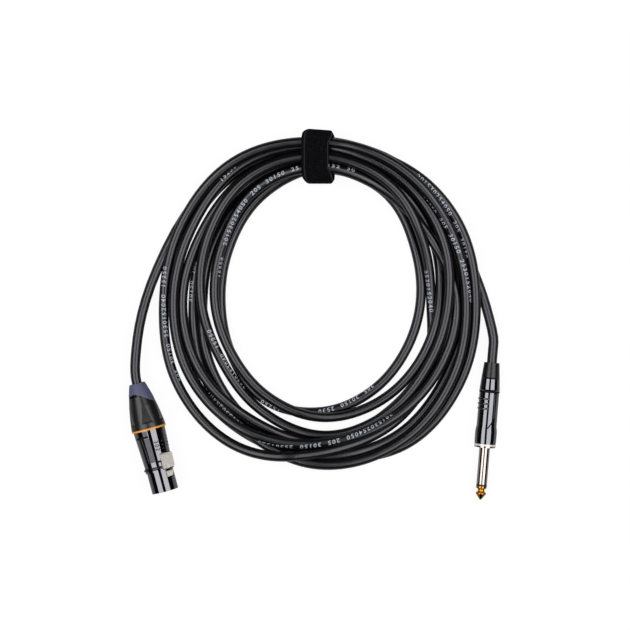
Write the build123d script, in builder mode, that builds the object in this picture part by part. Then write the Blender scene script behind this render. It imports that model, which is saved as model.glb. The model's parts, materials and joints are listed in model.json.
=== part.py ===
from build123d import *
from math import cos, pi, radians, sin, tan
import os

os.makedirs("parts", exist_ok=True)

# A 5 m microphone cable, XLR female to 6.35 mm jack, coiled and tied with a strap.
# It lies on the XY plane with +Z up. Lengths are in millimetres, angles in degrees.
# Each connector has its own axis: station 0 is its cable end, and stations grow towards the tip.

# ---- the cable ----
cable_d = 6.0
wire_r = 0.6
wire_spread = 1.2           # how far each wire leaves the jacket from the cable's axis
fit_gap = 0.05              # between pieces that are fixed in each other
running_gap = 0.06          # between pieces that turn or slide on each other
soft_gap = 0.3              # between the strap and the coil

# ---- the coil ----
coil_x = 4.3
coil_y = 7.5
coil_layers = 2
coil_round = 2.6
outline_step = 30
# radii of the bundle's outer and inner edges, clockwise from +Y
coil_outer = [100.2, 97.5, 96.0, 94.2, 98.1, 102.3, 99.6, 102.6, 102.0, 97.8, 100.5, 103.2]
coil_inner = [75.0, 72.0, 61.5, 56.1, 55.5, 58.8, 64.5, 62.4, 59.4, 58.2, 62.4, 71.4]

# ---- the tie strap ----
strap_x = 1.3
strap_y = 94.6
strap_tilt = -3.5
strap_w = 16.0
strap_t = 1.6
strap_loop_w = 32.7
strap_loop_h = 20.0
strap_corner_r = 8.6
bundle_w = 25.0
neck_overlap = 6.0

# ---- the XLR connector ----
xlr_x = -106.5
xlr_y = -41.2
xlr_turn = 14.8             # its axis leaves -Y by this angle, towards +X
latch_roll = 50.0           # the latch leaves +Z by this angle, towards +X
boot_length = 27.5
boot_end_r = 4.6
boot_grip_back = 7.5        # from the boot's front to the end of its steeper cone
boot_grip_drop = 1.0
boot_front_r = 10.3
boot_lip = 1.2
sleeve_length = 8.0
sleeve_spigot_length = 5.0
sleeve_front_r = 6.9
sleeve_wall = 2.6
ring_t = 1.1
ring_proud = 0.05
shell_length = 25.4
shell_rear_r = 9.6
shell_front_r = 8.3
flange_step = 0.65          # from the nose's surface out to the flange
flange_t = 1.2
nose_length = 12.5
nose_r = 7.95
nose_wall = 0.85
xlr_thread_wall = 1.6
xlr_thread_length = 6.0
xlr_thread_runout = 0.6
bushing_wall = 1.85
chuck_length = 10.4
chuck_slot = 0.8
chuck_back = 7.5            # from the ring back to the chuck's rear
jacket_reach = 0.6          # from the chuck's front to the jacket's end
insert_back = 13.0          # from the nose back to the insert's rear
insert_recess = 1.1
contact_circle_r = 3.81
contact_recess = 0.3
socket_bore_r = 1.25
socket_wall = 0.5
socket_bore_depth = 11.0
socket_length = 15.0
stem_r = 1.2
cup_length = 4.5
keyway_w = 2.6
keyway_depth = 1.65
ground_strip_t = 0.35
ground_strip_w = 3.0
ground_strip_length = 9.0
ground_seat_length = 5.0

# ---- the XLR latch: heights are from the connector's axis, towards the latch ----
latch_pin_back = 11.1       # from the nose back to the pin
latch_pin_r = 0.5
latch_pin_length = 6.4
latch_eye_wall = 0.49
latch_bar_w = 4.4
latch_bar_t = 1.2
latch_bar_drop = 0.6        # from the shell's bore in to the bar
latch_pin_lift = 0.3        # from the bar's underside to the pin's axis
tab_back = 9.7              # from the nose back to the press tab's rear
tab_length = 8.9
tab_w = 7.8
tab_proud = 1.6
tab_bevel = 0.7
hook_ahead = 1.0            # from the nose's start to the hook's rear
hook_length = 3.4
hook_proud = 0.95
hook_flat = 0.9
hook_slope = 1.5
latch_side_gap = 0.3
latch_end_gap = 0.55
latch_drop = 1.4            # room under the bar for its travel
latch_flat_lead = 0.5
spring_t = 0.25
spring_w = 3.6
spring_gap = 0.35           # between the spring's crest and the bar
spring_length = 8.3
spring_crest = 1.0

# ---- the 6.35 mm jack ----
jack_x = 106.4
jack_y = -28.9
jack_turn = -4.83
jack_boot_length = 9.8
jack_boot_end_r = 4.6
jack_boot_front_r = 5.5
boot_spigot_r = 3.9
boot_spigot_length = 4.7
collar_length = 7.7
collar_rear_r = 5.55
collar_front_r = 6.1
collar_groove = 0.6
barrel_length = 31.4
barrel_rear_r = 5.9
barrel_mid_r = 6.0
barrel_flare_r = 6.5
barrel_front_r = 6.4
barrel_flare_length = 7.9
barrel_flare_run = 3.0
jack_thread_r = 5.2
jack_thread_step = 0.2      # from the thread in to the barrel's plain bore
jack_thread_length = 7.7
rim_t = 2.1
rim_r = 6.3
finger_r = 3.175
finger_length = 31.75
tip_length = 8.35
tip_ring_t = 1.1
tip_collar = 1.1
tip_neck_r = 1.95
tip_neck_back = 5.8         # from the tip's end to the neck
tip_neck_half = 0.5
tip_ball_back = 3.7         # from the tip's end to the ball's widest station
tip_inset = 0.075
tip_nose_r = 0.6
rod_r = 1.2
rod_sleeve_t = 0.8
rod_head_step = 0.7
rod_head_t = 0.7
lug_t = 0.6
lug_w = 2.4
lug_length = 6.5
lug_margin = 0.8            # between the lug's rim and the washer's
washer_margin = 0.2         # between the washer's rim and the sleeve's strip
washer_t = 1.2
clamp_length = 5.0
clamp_wall = 0.6
clamp_strip_gap = 0.5       # from the barrel's bore in to the strip
clamp_strip_w = 3.8
jack_jacket_reach = 3.5     # from the crimp to the jacket's end
jack_wire_room = 2.5        # from the jacket's end to the lug's tail

# ---- sizes that follow ----
cable_r = cable_d / 2
ring_r = boot_front_r + ring_proud


# ---- frames: stations run along local Z, and side planes hold (station, radius) profiles ----
def connector_planes(x, y, height, turn, roll):
    """Return a connector's cross plane, its side plane through local X, and its axis."""
    along = Vector(sin(radians(turn)), -cos(radians(turn)), 0)
    across = Vector(cos(radians(turn)), sin(radians(turn)), 0)
    out = across * sin(radians(roll)) + Vector(0, 0, 1) * cos(radians(roll))
    origin = Vector(x, y, height)
    cross = Plane(origin=origin, x_dir=out, z_dir=along)
    side = Plane(origin=origin, x_dir=along, z_dir=along.cross(out))
    return cross, side, Axis(origin, along)


xlr, xlr_side, xlr_axis = connector_planes(xlr_x, xlr_y, ring_r, xlr_turn, latch_roll)
jack, jack_side, jack_axis = connector_planes(jack_x, jack_y, barrel_flare_r, jack_turn, 0)


# =====================================================================================
# The coil: one solid of the bundle's outer shape, raised where the strap goes under it
# =====================================================================================
def edge_points(radii):
    """Place one point of the bundle's edge at each step, clockwise from +Y."""
    points = []
    for index, radius in enumerate(radii):
        angle = radians(index * outline_step)
        points.append((coil_x + radius * sin(angle), coil_y + radius * cos(angle)))
    return points


coil_height = coil_layers * cable_d
neck_low = strap_t + soft_gap
neck_high = strap_loop_h - strap_t - soft_gap
strap_plane = Plane(origin=(strap_x, strap_y, 0), x_dir=Vector(1, 0, 0)).rotated((0, 0, strap_tilt))
strap_across = Plane(
    origin=strap_plane.origin, x_dir=strap_plane.y_dir, z_dir=strap_plane.x_dir)

with BuildPart() as cable_coil:
    with BuildSketch():
        with BuildLine():
            Spline(*edge_points(coil_outer), periodic=True)
        make_face()
        with BuildSketch(mode=Mode.PRIVATE) as coil_hole:
            with BuildLine():
                Spline(*edge_points(coil_inner), periodic=True)
            make_face()
        add(coil_hole.sketch, mode=Mode.SUBTRACT)
    extrude(amount=coil_height)
    chamfer(cable_coil.edges().group_by(Axis.Z)[-1], coil_round)
    chamfer(cable_coil.edges().group_by(Axis.Z)[0], coil_round / 2)
    # the bundle leaves room for the strap's loop, and passes through it as a neck
    with BuildSketch(strap_plane):
        Rectangle(strap_w + 2 * soft_gap, strap_loop_w + 2 * cable_d)
    extrude(amount=coil_height + cable_d, mode=Mode.SUBTRACT)
    with BuildSketch(strap_across):
        with Locations((0, (neck_low + neck_high) / 2)):
            RectangleRounded(bundle_w, neck_high - neck_low, cable_d)
    extrude(amount=strap_w / 2 + neck_overlap, both=True)
cable_coil.part.label = "cable_coil"
export_step(cable_coil.part, "parts/cable_coil.step")

with BuildPart() as tie_strap:
    with BuildSketch(strap_across):
        with Locations((0, strap_loop_h / 2)):
            RectangleRounded(strap_loop_w, strap_loop_h, strap_corner_r)
            RectangleRounded(
                strap_loop_w - 2 * strap_t, strap_loop_h - 2 * strap_t, strap_corner_r - strap_t,
                mode=Mode.SUBTRACT)
    extrude(amount=strap_w / 2, both=True)
tie_strap.part.label = "tie_strap"
export_step(tie_strap.part, "parts/tie_strap.step")


# =====================================================================================
# The two tails: straight runs joined by tangent arcs, from each connector into the coil
# =====================================================================================
floor_height = cable_r + 0.1
xlr_first_run = 13.0
jack_first_run = 15.6
xlr_back = xlr.origin - xlr.z_dir * xlr_first_run
jack_back = jack.origin - jack.z_dir * jack_first_run

xlr_tail_route = [
    xlr.origin,
    xlr_back,
    Vector(-106.9, -6.8, 8.9),
    Vector(-97.8, 22.4, 5.0),
    Vector(-80.8, 57.6, floor_height),
    Vector(-61.7, 79.5, floor_height + 0.2),
]
jack_tail_route = [
    jack.origin,
    jack_back,
    Vector(101.4, 11.8, 4.6),
    Vector(89.0, 46.8, floor_height),
    Vector(70.4, 72.6, floor_height + 0.2),
]


def corner_radii(route, name):
    """Return the largest tangent arc that each corner's two runs allow, and print them."""
    radii = []
    for before, corner, after in zip(route, route[1:], route[2:]):
        arriving = corner - before
        leaving = after - corner
        turn = radians(arriving.get_angle(leaving))
        radii.append(0.45 * min(arriving.length, leaving.length) / tan(turn / 2))
    print(name, "corner radii:", [round(radius, 1) for radius in radii])
    return radii


def check_tube(name, part, line):
    """Print a tube's volume beside its section times its length."""
    length = sum(edge.length for edge in line.edges())
    print(name, "length", round(length, 1), "volume", round(part.volume, 1),
          "expected", round(pi * cable_r ** 2 * length, 1))


with BuildPart() as xlr_tail:
    with BuildLine() as xlr_tail_line:
        FilletPolyline(*xlr_tail_route, radius=corner_radii(xlr_tail_route, "xlr_tail"))
    with BuildSketch(Plane(origin=xlr.origin, z_dir=-xlr.z_dir)):
        Circle(cable_r)
    sweep()
xlr_tail.part.label = "xlr_tail"
export_step(xlr_tail.part, "parts/xlr_tail.step")
check_tube("xlr_tail", xlr_tail.part, xlr_tail_line)

with BuildPart() as jack_tail:
    with BuildLine() as jack_tail_line:
        FilletPolyline(*jack_tail_route, radius=corner_radii(jack_tail_route, "jack_tail"))
    with BuildSketch(Plane(origin=jack.origin, z_dir=-jack.z_dir)):
        Circle(cable_r)
    sweep()
jack_tail.part.label = "jack_tail"
export_step(jack_tail.part, "parts/jack_tail.step")
check_tube("jack_tail", jack_tail.part, jack_tail_line)


# =====================================================================================
# The XLR connector
# =====================================================================================
ring_at = boot_length
shell_at = ring_at + ring_t
nose_at = shell_at + shell_length
xlr_length = nose_at + nose_length
shell_bore_r = nose_r - nose_wall
flange_r = nose_r + flange_step
xlr_thread_r = shell_rear_r - xlr_thread_wall
spigot_front = shell_at + xlr_thread_length
boot_bore_r = cable_r + running_gap
boot_cavity_r = xlr_thread_r - bushing_wall
sleeve_spigot_at = sleeve_length - sleeve_spigot_length
sleeve_spigot_r = sleeve_front_r - sleeve_wall
chuck_at = ring_at - chuck_back
chuck_r = boot_cavity_r - 3 * fit_gap
boot_cavity_at = chuck_at - soft_gap
xlr_jacket_end = chuck_at + chuck_length + jacket_reach
insert_rear = nose_at - insert_back
insert_front = xlr_length - insert_recess
insert_r = shell_bore_r - fit_gap
contact_front = insert_front - contact_recess
socket_r = socket_bore_r + socket_wall
socket_at = contact_front - socket_length
cup_at = insert_rear - cup_length
keyway_floor = insert_r - keyway_depth
ground_strip_x = insert_r - ground_strip_t - 4 * fit_gap

latch_bar_high = shell_bore_r - latch_bar_drop
latch_bar_low = latch_bar_high - latch_bar_t
latch_pin_x = latch_bar_low + latch_pin_lift
latch_pin_at = nose_at - latch_pin_back
latch_eye_r = latch_pin_r + running_gap + latch_eye_wall
pocket_floor = latch_bar_low - latch_drop
pocket_w = latch_bar_w + 2 * latch_side_gap
tab_at = nose_at - tab_back
tab_front = tab_at + tab_length
tab_x = shell_front_r + tab_proud
window_w = tab_w + 2 * latch_side_gap
window_at = tab_at - latch_end_gap
window_front = tab_front + latch_end_gap
latch_flat_at = tab_at - latch_flat_lead
latch_flat_x = latch_bar_low - fit_gap
hook_at = nose_at + hook_ahead
hook_front = hook_at + hook_length
hook_x = nose_r + hook_proud
hook_slot_at = hook_at - latch_side_gap
hook_slot_front = hook_front + latch_end_gap
spring_at = latch_pin_at + latch_eye_r + soft_gap
spring_front = spring_at + spring_length
spring_x = latch_bar_low - spring_gap
outside = 2 * shell_rear_r

# Bushing with the finger grip; its threaded spigot screws into the shell
with BuildPart() as xlr_bushing:
    with BuildSketch(xlr_side):
        Polygon(
            (sleeve_spigot_at, boot_bore_r),
            (sleeve_spigot_at, sleeve_spigot_r),
            (sleeve_length, sleeve_spigot_r),
            (sleeve_length, sleeve_front_r),
            (boot_length - boot_grip_back, boot_front_r - boot_grip_drop),
            (boot_length - boot_lip, boot_front_r),
            (boot_length - fit_gap, boot_front_r),
            (boot_length - fit_gap, xlr_thread_r),
            (spigot_front, xlr_thread_r),
            (spigot_front, boot_cavity_r),
            (boot_cavity_at, boot_cavity_r),
            (boot_cavity_at, boot_bore_r),
            align=None,
        )
    revolve(axis=xlr_axis)
xlr_bushing.part.label = "xlr_bushing"
export_step(xlr_bushing.part, "parts/xlr_bushing.step")

# Soft end sleeve, moulded over the bushing's rear spigot
with BuildPart() as xlr_end_sleeve:
    with BuildSketch(xlr_side):
        Polygon(
            (0, boot_bore_r),
            (0, boot_end_r),
            (sleeve_length, sleeve_front_r),
            (sleeve_length, sleeve_spigot_r),
            (sleeve_spigot_at, sleeve_spigot_r),
            (sleeve_spigot_at, boot_bore_r),
            align=None,
        )
    revolve(axis=xlr_axis)
xlr_end_sleeve.part.label = "xlr_end_sleeve"
export_step(xlr_end_sleeve.part, "parts/xlr_end_sleeve.step")

# Coloured coding ring, trapped between the bushing's shoulder and the shell
with BuildPart() as coding_ring:
    with BuildSketch(xlr.offset(ring_at)):
        Circle(ring_r)
        Circle(xlr_thread_r + running_gap, mode=Mode.SUBTRACT)
    extrude(amount=ring_t - fit_gap)
coding_ring.part.label = "coding_ring"
export_step(coding_ring.part, "parts/coding_ring.step")

# Metal shell with the nose that enters the mating connector
with BuildPart(xlr) as xlr_shell:
    with BuildSketch(xlr_side):
        Polygon(
            (shell_at, xlr_thread_r + running_gap),
            (shell_at, shell_rear_r),
            (nose_at - flange_t, shell_front_r),
            (nose_at - flange_t, flange_r),
            (nose_at, flange_r),
            (nose_at, nose_r),
            (xlr_length, nose_r),
            (xlr_length, shell_bore_r),
            (spigot_front + xlr_thread_runout, shell_bore_r),
            (spigot_front + xlr_thread_runout, xlr_thread_r + running_gap),
            align=None,
        )
    revolve(axis=xlr_axis)
    # window for the press tab, and slot for the hook, with the shell's bridge between
    with Locations((outside / 2, 0, (window_at + window_front) / 2)):
        Box(outside, window_w, window_front - window_at, mode=Mode.SUBTRACT)
    with Locations((outside / 2, 0, (hook_slot_at + hook_slot_front) / 2)):
        Box(outside, pocket_w, hook_slot_front - hook_slot_at, mode=Mode.SUBTRACT)
xlr_shell.part.label = "xlr_shell"
export_step(xlr_shell.part, "parts/xlr_shell.step")

# Contacts: one opposite the latch and one at each side of it
contact_places = [(0, contact_circle_r), (0, -contact_circle_r), (-contact_circle_r, 0)]

# Insulating insert that carries the contacts and the latch's pin
with BuildPart(xlr) as xlr_insert:
    with BuildSketch(xlr.offset(insert_rear)):
        Circle(insert_r)
        with Locations(contact_places):
            Circle(stem_r + fit_gap, mode=Mode.SUBTRACT)
    extrude(amount=insert_front - insert_rear)
    with BuildSketch(xlr.offset(socket_at - fit_gap)):
        with Locations(contact_places):
            Circle(socket_r + fit_gap)
    extrude(amount=insert_front - socket_at + fit_gap, mode=Mode.SUBTRACT)
    # pocket under the latch's bar
    with Locations(((pocket_floor + outside) / 2, 0, (insert_rear + hook_slot_front) / 2)):
        Box(outside - pocket_floor, pocket_w, hook_slot_front - insert_rear, mode=Mode.SUBTRACT)
    # flat under the press tab
    with Locations(((latch_flat_x + outside) / 2, 0, (latch_flat_at + window_front) / 2)):
        Box(outside - latch_flat_x, outside, window_front - latch_flat_at, mode=Mode.SUBTRACT)
    # keyway for the mating connector's rib
    with Locations(((keyway_floor + outside) / 2, 0, (hook_slot_front + insert_front) / 2)):
        Box(outside - keyway_floor, keyway_w, insert_front - hook_slot_front, mode=Mode.SUBTRACT)
    # seat of the ground strip, opposite the latch
    with Locations((-(ground_strip_x + outside) / 2, 0, insert_rear + ground_seat_length / 2)):
        Box(outside - ground_strip_x, ground_strip_w + 2 * fit_gap, ground_seat_length,
            mode=Mode.SUBTRACT)
    with Locations((latch_pin_x, 0, latch_pin_at)):
        Cylinder(latch_pin_r + fit_gap / 2, latch_pin_length, rotation=(90, 0, 0),
                 mode=Mode.SUBTRACT)
xlr_insert.part.label = "xlr_insert"
export_step(xlr_insert.part, "parts/xlr_insert.step")


def make_contact(label, place):
    """Make one female contact: a solder cup, a stem and a bored socket."""
    with BuildPart() as contact:
        with BuildSketch(xlr.offset(cup_at)):
            with Locations(place):
                Circle(stem_r)
        extrude(amount=contact_front - cup_at)
        with BuildSketch(xlr.offset(socket_at)):
            with Locations(place):
                Circle(socket_r)
        extrude(amount=socket_length)
        with BuildSketch(xlr.offset(contact_front - socket_bore_depth)):
            with Locations(place):
                Circle(socket_bore_r)
        extrude(amount=socket_bore_depth, mode=Mode.SUBTRACT)
        with BuildSketch(xlr.offset(cup_at)):
            with Locations(place):
                Circle(wire_r + fit_gap)
        extrude(amount=cup_length - stem_r, mode=Mode.SUBTRACT)
    contact.part.label = label
    export_step(contact.part, f"parts/{label}.step")


for number, place in enumerate(contact_places, start=1):
    make_contact(f"contact_{number}", place)

# Ground strip that joins the shell to the cable's screen
with BuildPart(xlr) as ground_strip:
    with Locations((-(ground_strip_x + ground_strip_t / 2), 0,
                    insert_rear + ground_seat_length - ground_strip_length / 2)):
        Box(ground_strip_t, ground_strip_w, ground_strip_length)
ground_strip.part.label = "ground_strip"
export_step(ground_strip.part, "parts/ground_strip.step")

# Latch lever: an eye on the pin, a bar, the press tab and the hook
with BuildPart(xlr) as xlr_latch:
    with BuildSketch(xlr_side):
        Polygon(
            (latch_pin_at, latch_bar_low),
            (hook_front, latch_bar_low),
            (hook_front, hook_x - hook_slope),
            (hook_at + hook_flat, hook_x),
            (hook_at, hook_x),
            (hook_at, latch_bar_high),
            (latch_pin_at, latch_bar_high),
            align=None,
        )
    extrude(amount=latch_bar_w / 2, both=True)
    with BuildSketch(xlr_side):
        Polygon(
            (tab_at, latch_bar_high),
            (tab_at, tab_x - tab_bevel),
            (tab_at + tab_bevel, tab_x),
            (tab_front - tab_bevel, tab_x - tab_bevel / 2),
            (tab_front, tab_x - 2 * tab_bevel),
            (tab_front, latch_bar_high),
            align=None,
        )
    extrude(amount=tab_w / 2, both=True)
    with BuildSketch(xlr_side):
        with Locations((latch_pin_at, latch_pin_x)):
            Circle(latch_eye_r)
    extrude(amount=latch_bar_w / 2, both=True)
    with BuildSketch(xlr_side):
        with Locations((latch_pin_at, latch_pin_x)):
            Circle(latch_pin_r + running_gap)
    extrude(amount=latch_bar_w, both=True, mode=Mode.SUBTRACT)
xlr_latch.part.label = "xlr_latch"
export_step(xlr_latch.part, "parts/xlr_latch.step")

with BuildPart(xlr) as latch_pin:
    with Locations((latch_pin_x, 0, latch_pin_at)):
        Cylinder(latch_pin_r, latch_pin_length, rotation=(90, 0, 0))
latch_pin.part.label = "latch_pin"
export_step(latch_pin.part, "parts/latch_pin.step")

# Leaf spring on the pocket's floor, under the bar
with BuildPart() as latch_spring:
    with BuildSketch(xlr_side):
        Polygon(
            (spring_at, pocket_floor),
            (spring_at + spring_crest, spring_x - spring_t),
            (spring_at + 2 * spring_crest, spring_x - spring_t),
            (spring_front, pocket_floor),
            (spring_front, pocket_floor + spring_t),
            (spring_at + 2 * spring_crest, spring_x),
            (spring_at + spring_crest - spring_t, spring_x),
            (spring_at - spring_t, pocket_floor),
            align=None,
        )
    extrude(amount=spring_w / 2, both=True)
latch_spring.part.label = "latch_spring"
export_step(latch_spring.part, "parts/latch_spring.step")


def make_chuck(label, plane, station, length, radius):
    """Make a slotted collet that grips the cable's jacket."""
    with BuildPart() as chuck:
        with BuildSketch(plane.offset(station)):
            Circle(radius)
            Circle(cable_r, mode=Mode.SUBTRACT)
        extrude(amount=length)
        with BuildSketch(plane.offset(station + length / 4)):
            with PolarLocations(0, 2, angular_range=180):
                Rectangle(4 * radius, chuck_slot)
        extrude(amount=length, mode=Mode.SUBTRACT)
    chuck.part.label = label
    export_step(chuck.part, f"parts/{label}.step")


make_chuck("xlr_chuck", xlr, chuck_at, chuck_length, chuck_r)


def make_jacket_end(label, plane, length):
    """Make the straight end of the cable's jacket inside a connector."""
    with BuildPart() as jacket_end:
        with BuildSketch(plane):
            Circle(cable_r)
        extrude(amount=length)
    jacket_end.part.label = label
    export_step(jacket_end.part, f"parts/{label}.step")


def make_wire(label, plane, start, end):
    """Make a straight wire between two points of a connector's frame."""
    first = plane.from_local_coords(Vector(*start))
    last = plane.from_local_coords(Vector(*end))
    with BuildPart() as wire:
        with BuildSketch(Plane(origin=first, z_dir=last - first)):
            Circle(wire_r)
        extrude(amount=(last - first).length)
    wire.part.label = label
    export_step(wire.part, f"parts/{label}.step")


make_jacket_end("xlr_jacket_end", xlr, xlr_jacket_end)
for label, (place_x, place_y) in zip(["xlr_screen_wire", "xlr_red_wire", "xlr_white_wire"],
                                     contact_places):
    start_x = place_x * wire_spread / contact_circle_r
    start_y = place_y * wire_spread / contact_circle_r
    make_wire(label, xlr, (start_x, start_y, xlr_jacket_end), (place_x, place_y, cup_at + wire_r))


# =====================================================================================
# The 6.35 mm jack
# =====================================================================================
boot_spigot_front = jack_boot_length + boot_spigot_length
collar_front = jack_boot_length + collar_length
barrel_front = collar_front + barrel_length
barrel_flare_at = barrel_front - barrel_flare_length
barrel_bore_r = jack_thread_r - jack_thread_step
thread_at = barrel_front - jack_thread_length
finger_at = barrel_front + rim_t
jack_length = finger_at + finger_length
tip_at = jack_length - tip_length
tip_ring_at = tip_at - tip_ring_t
tip_neck_at = jack_length - tip_neck_back
tip_ball_at = jack_length - tip_ball_back
tip_ball_r = finger_r - tip_inset
rod_sleeve_r = rod_r + rod_sleeve_t
rod_head_r = rod_r + rod_head_step
washer_at = thread_at - washer_t
lug_at = washer_at - lug_t
rod_head_at = lug_at - rod_head_t
jack_jacket_end = lug_at + lug_t - lug_length - jack_wire_room
clamp_at = jack_jacket_end - jack_jacket_reach - clamp_length
clamp_strip_x = barrel_bore_r - clamp_strip_gap
washer_r = clamp_strip_x - clamp_wall - washer_margin
lug_r = washer_r - lug_margin

# Rubber strain relief; its spigot sits in the collar
with BuildPart() as jack_boot:
    with BuildSketch(jack_side):
        Polygon(
            (0, boot_bore_r),
            (0, jack_boot_end_r),
            (jack_boot_length, jack_boot_front_r),
            (jack_boot_length, boot_spigot_r),
            (boot_spigot_front, boot_spigot_r),
            (boot_spigot_front, boot_bore_r),
            align=None,
        )
    revolve(axis=jack_axis)
jack_boot.part.label = "jack_boot"
export_step(jack_boot.part, "parts/jack_boot.step")

with BuildPart() as jack_collar:
    with BuildSketch(jack_side):
        Polygon(
            (jack_boot_length + fit_gap, boot_spigot_r + running_gap),
            (jack_boot_length + fit_gap, collar_rear_r),
            (collar_front - collar_groove, collar_front_r),
            (collar_front - collar_groove, collar_rear_r),
            (collar_front, collar_rear_r),
            (collar_front, barrel_bore_r),
            (boot_spigot_front + soft_gap, barrel_bore_r),
            (boot_spigot_front + soft_gap, boot_spigot_r + running_gap),
            align=None,
        )
    revolve(axis=jack_axis)
jack_collar.part.label = "jack_collar"
export_step(jack_collar.part, "parts/jack_collar.step")

# Barrel with finger ribs on its rear half and a flare over the thread
with BuildPart() as jack_barrel:
    with BuildSketch(jack_side):
        Polygon(
            (collar_front, barrel_bore_r),
            (collar_front, barrel_rear_r),
            (barrel_flare_at - barrel_flare_run, barrel_mid_r),
            (barrel_flare_at, barrel_flare_r),
            (barrel_front - barrel_flare_run, barrel_flare_r),
            (barrel_front - fit_gap, barrel_front_r),
            (barrel_front - fit_gap, jack_thread_r + running_gap),
            (thread_at, jack_thread_r + running_gap),
            (thread_at, barrel_bore_r),
            align=None,
        )
    revolve(axis=jack_axis)
jack_barrel.part.label = "jack_barrel"
export_step(jack_barrel.part, "parts/jack_barrel.step")

# Sleeve contact: the finger's outer tube, the rim and the threaded boss in one piece
with BuildPart() as jack_sleeve:
    with BuildSketch(jack_side):
        Polygon(
            (thread_at, rod_sleeve_r + fit_gap),
            (thread_at, jack_thread_r),
            (barrel_front, jack_thread_r),
            (barrel_front, rim_r),
            (finger_at, rim_r),
            (finger_at, finger_r),
            (tip_ring_at, finger_r),
            (tip_ring_at, rod_sleeve_r + fit_gap),
            align=None,
        )
    revolve(axis=jack_axis)
jack_sleeve.part.label = "jack_sleeve"
export_step(jack_sleeve.part, "parts/jack_sleeve.step")

# Insulator round the rod, ending in the visible ring behind the tip
with BuildPart() as tip_insulator:
    with BuildSketch(jack_side):
        Polygon(
            (thread_at, rod_r + fit_gap),
            (thread_at, rod_sleeve_r),
            (tip_ring_at, rod_sleeve_r),
            (tip_ring_at, finger_r),
            (tip_at, finger_r),
            (tip_at, rod_r + fit_gap),
            align=None,
        )
    revolve(axis=jack_axis)
tip_insulator.part.label = "tip_insulator"
export_step(tip_insulator.part, "parts/tip_insulator.step")

# Tip contact: collar, neck, ball and cone, on the rod that runs back to its riveted head
with BuildPart() as jack_tip:
    with BuildSketch(jack_side):
        Polygon(
            (rod_head_at, 0),
            (rod_head_at, rod_head_r),
            (lug_at, rod_head_r),
            (lug_at, rod_r),
            (tip_at, rod_r),
            (tip_at, finger_r),
            (tip_at + tip_collar, finger_r),
            (tip_neck_at - tip_neck_half, tip_neck_r),
            (tip_neck_at + tip_neck_half, tip_neck_r),
            (tip_ball_at - tip_neck_half, tip_ball_r),
            (tip_ball_at, tip_ball_r),
            (jack_length - tip_nose_r / 2, tip_nose_r),
            (jack_length, 0),
            align=None,
        )
    revolve(axis=jack_axis)
jack_tip.part.label = "jack_tip"
export_step(jack_tip.part, "parts/jack_tip.step")

with BuildPart() as rear_washer:
    with BuildSketch(jack.offset(washer_at)):
        Circle(washer_r)
        Circle(rod_r + fit_gap, mode=Mode.SUBTRACT)
    extrude(amount=washer_t)
rear_washer.part.label = "rear_washer"
export_step(rear_washer.part, "parts/rear_washer.step")

# Solder lug under the rod's head, with its tail bent back towards the cable
with BuildPart(jack) as tip_lug:
    with BuildSketch(jack.offset(lug_at)):
        Circle(lug_r)
        Circle(rod_r + fit_gap, mode=Mode.SUBTRACT)
    extrude(amount=lug_t)
    with Locations((lug_r - lug_t / 2, 0, lug_at + lug_t - lug_length / 2)):
        Box(lug_t, lug_w, lug_length)
tip_lug.part.label = "tip_lug"
export_step(tip_lug.part, "parts/tip_lug.step")

# Sleeve lug: a strip from the boss back to the crimp round the jacket
clamp_r = cable_r + clamp_wall
with BuildPart(jack) as cable_clamp:
    with BuildSketch(jack.offset(clamp_at)):
        Circle(clamp_r)
        Circle(cable_r, mode=Mode.SUBTRACT)
    extrude(amount=clamp_length)
    with Locations((-clamp_strip_x + clamp_wall / 2, 0, (clamp_at + thread_at) / 2)):
        Box(clamp_wall, clamp_strip_w, thread_at - clamp_at)
    with Locations((-(cable_r + clamp_strip_x) / 2, 0, clamp_at + clamp_length / 2)):
        Box(clamp_strip_x - cable_r, clamp_strip_w / 2, clamp_length)
    with BuildSketch(jack.offset(clamp_at)):
        Circle(cable_r)
    extrude(amount=clamp_length, mode=Mode.SUBTRACT)
cable_clamp.part.label = "cable_clamp"
export_step(cable_clamp.part, "parts/cable_clamp.step")

make_jacket_end("jack_jacket_end", jack, jack_jacket_end)
make_wire("jack_red_wire", jack, (wire_spread, 0, jack_jacket_end),
          (lug_r - lug_t - wire_r, 0, lug_at - lug_length / 2))
make_wire("jack_screen_wire", jack, (-wire_spread, 0, jack_jacket_end),
          (wire_r + clamp_wall - clamp_strip_x, 0, thread_at - 2 * washer_t))
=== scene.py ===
# %% [markdown]
# # A coiled audio cable, dressed for the camera
# The engineering model gives every rigid piece its size and place. This lesson adds
# what the eye wants: the cable as one long curve, the finish of each surface, and the
# fine shapes of the connectors. Everything is in metres, in the engineering frame.

# %% Load the frame
import bpy
import bmesh
import json
import math
import numpy as np
from mathutils import Matrix, Vector


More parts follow.
